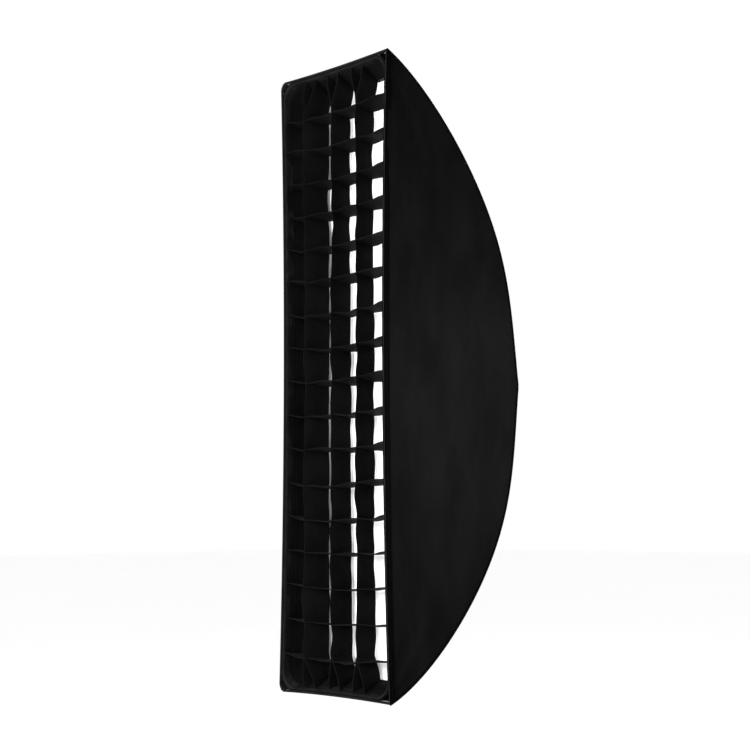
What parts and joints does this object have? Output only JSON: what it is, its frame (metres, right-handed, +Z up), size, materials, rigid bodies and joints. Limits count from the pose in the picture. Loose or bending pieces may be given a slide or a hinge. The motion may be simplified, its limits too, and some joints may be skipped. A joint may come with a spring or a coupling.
{
  "type": "strip softbox with grid",
  "caption": "Tall narrow studio strip softbox: tapering black fabric shell on sprung rods, bayonet speedring, white diffusers and a deep soft egg-crate grid over the mouth.",
  "frame": {"origin": "centre of the bayonet seat, in the plane where the insert's flange meets the flash head", "axes": "+Z up along the long side of the mouth, +Y back along the light's axis towards the flash head, +X to the right seen from in front of the mouth"},
  "size_m": [0.2192, 0.34, 0.8992],
  "materials": {
    "black_cloth": "matt coated nylon",
    "black_tape": "hook and loop tape and binding",
    "white_cloth": "matt woven diffusion cloth",
    "cast_black": "satin black",
    "plated": "satin",
    "rod_steel": "satin",
    "moulded": "fine grained",
    "nylon": "natural nylon"
  },
  "bodies": {
    "bayonet": {"bayonet_insert": "plated", "retaining_ring": "plated", "retaining_screw_1": "plated", "retaining_screw_2": "plated", "retaining_screw_3": "plated"},
    "softbox": {"speedring_body": "cast_black", "rod_socket_top_right": "plated", "rod_socket_top_left": "plated", "rod_socket_bottom_right": "plated", "rod_socket_bottom_left": "plated", "rod_top_right": "rod_steel", "rod_top_left": "rod_steel", "rod_bottom_right": "rod_steel", "rod_bottom_left": "rod_steel", "corner_pocket_top_right": "black_tape", "corner_pocket_top_left": "black_tape", "corner_pocket_bottom_right": "black_tape", "corner_pocket_bottom_left": "black_tape", "side_panel_right": "black_cloth", "side_panel_left": "black_cloth", "end_panel_top": "black_cloth", "end_panel_bottom": "black_cloth", "rear_collar": "black_tape", "front_hem": "black_tape", "grid_loop_tape": "black_tape", "diffuser_loop_tape": "black_tape"},
    "lock_pad": {"lock_pad": "nylon"},
    "lock_knob": {"lock_screw": "plated", "lock_knob": "moulded"},
    "socket_flap_top": {"socket_flap_top": "black_cloth"},
    "socket_flap_bottom": {"socket_flap_bottom": "black_cloth"},
    "front_diffuser": {"front_diffuser_border": "white_cloth", "front_diffuser_cloth": "white_cloth"},
    "inner_diffuser": {"inner_diffuser_hem": "white_cloth", "inner_diffuser_cloth": "white_cloth", "inner_diffuser_strap_top_right": "black_tape", "inner_diffuser_strap_top_left": "black_tape", "inner_diffuser_strap_bottom_right": "black_tape", "inner_diffuser_strap_bottom_left": "black_tape"},
    "grid": {"grid_border": "black_tape", "grid_long_strip_1": "black_cloth", "grid_long_strip_2": "black_cloth", "grid_long_strip_3": "black_cloth", "grid_cross_strip_01": "black_cloth", "grid_cross_strip_02": "black_cloth", "grid_cross_strip_03": "black_cloth", "grid_cross_strip_04": "black_cloth", "grid_cross_strip_05": "black_cloth", "grid_cross_strip_06": "black_cloth", "grid_cross_strip_07": "black_cloth", "grid_cross_strip_08": "black_cloth", "grid_cross_strip_09": "black_cloth", "grid_cross_strip_10": "black_cloth", "grid_cross_strip_11": "black_cloth", "grid_cross_strip_12": "black_cloth", "grid_cross_strip_13": "black_cloth", "grid_cross_strip_14": "black_cloth", "grid_cross_strip_15": "black_cloth", "grid_cross_strip_16": "black_cloth", "grid_cross_strip_17": "black_cloth"}
  },
  "joints": [
    {"name": "softbox_turn", "type": "hinge", "parent": "bayonet", "child": "softbox", "pos_m": [0, 0, 0], "axis": [0, 1, 0], "continuous": true},
    {"name": "lock_press", "type": "slide", "parent": "softbox", "child": "lock_pad", "axis": [-1, 0, 0], "range_m": [0, 0.0021]},
    {"name": "lock_turn", "type": "hinge", "parent": "lock_pad", "child": "lock_knob", "pos_m": [-0.08, -0.008, 0], "axis": [-1, 0, 0], "range_deg": [0, 720]},
    {"name": "flap_top", "type": "hinge", "parent": "softbox", "child": "socket_flap_top", "pos_m": [0, -0.0259, 0.1466], "axis": [1, 0, 0], "range_deg": [0, 100]},
    {"name": "flap_bottom", "type": "hinge", "parent": "softbox", "child": "socket_flap_bottom", "pos_m": [0, -0.0259, -0.1466], "axis": [-1, 0, 0], "range_deg": [0, 100]},
    {"name": "front_diffuser_pull", "type": "slide", "parent": "softbox", "child": "front_diffuser", "axis": [0, -1, 0], "range_m": [0, 0.1]},
    {"name": "grid_pull", "type": "slide", "parent": "front_diffuser", "child": "grid", "axis": [0, -1, 0], "range_m": [0, 0.1]},
    {"name": "inner_diffuser_pull", "type": "slide", "parent": "softbox", "child": "inner_diffuser", "axis": [0, -1, 0], "range_m": [0, 0.06]}
  ],
  "couplings": [
    {"joint": "lock_press", "follows": "lock_turn", "m_per_rad": 0.00015915}
  ]
}
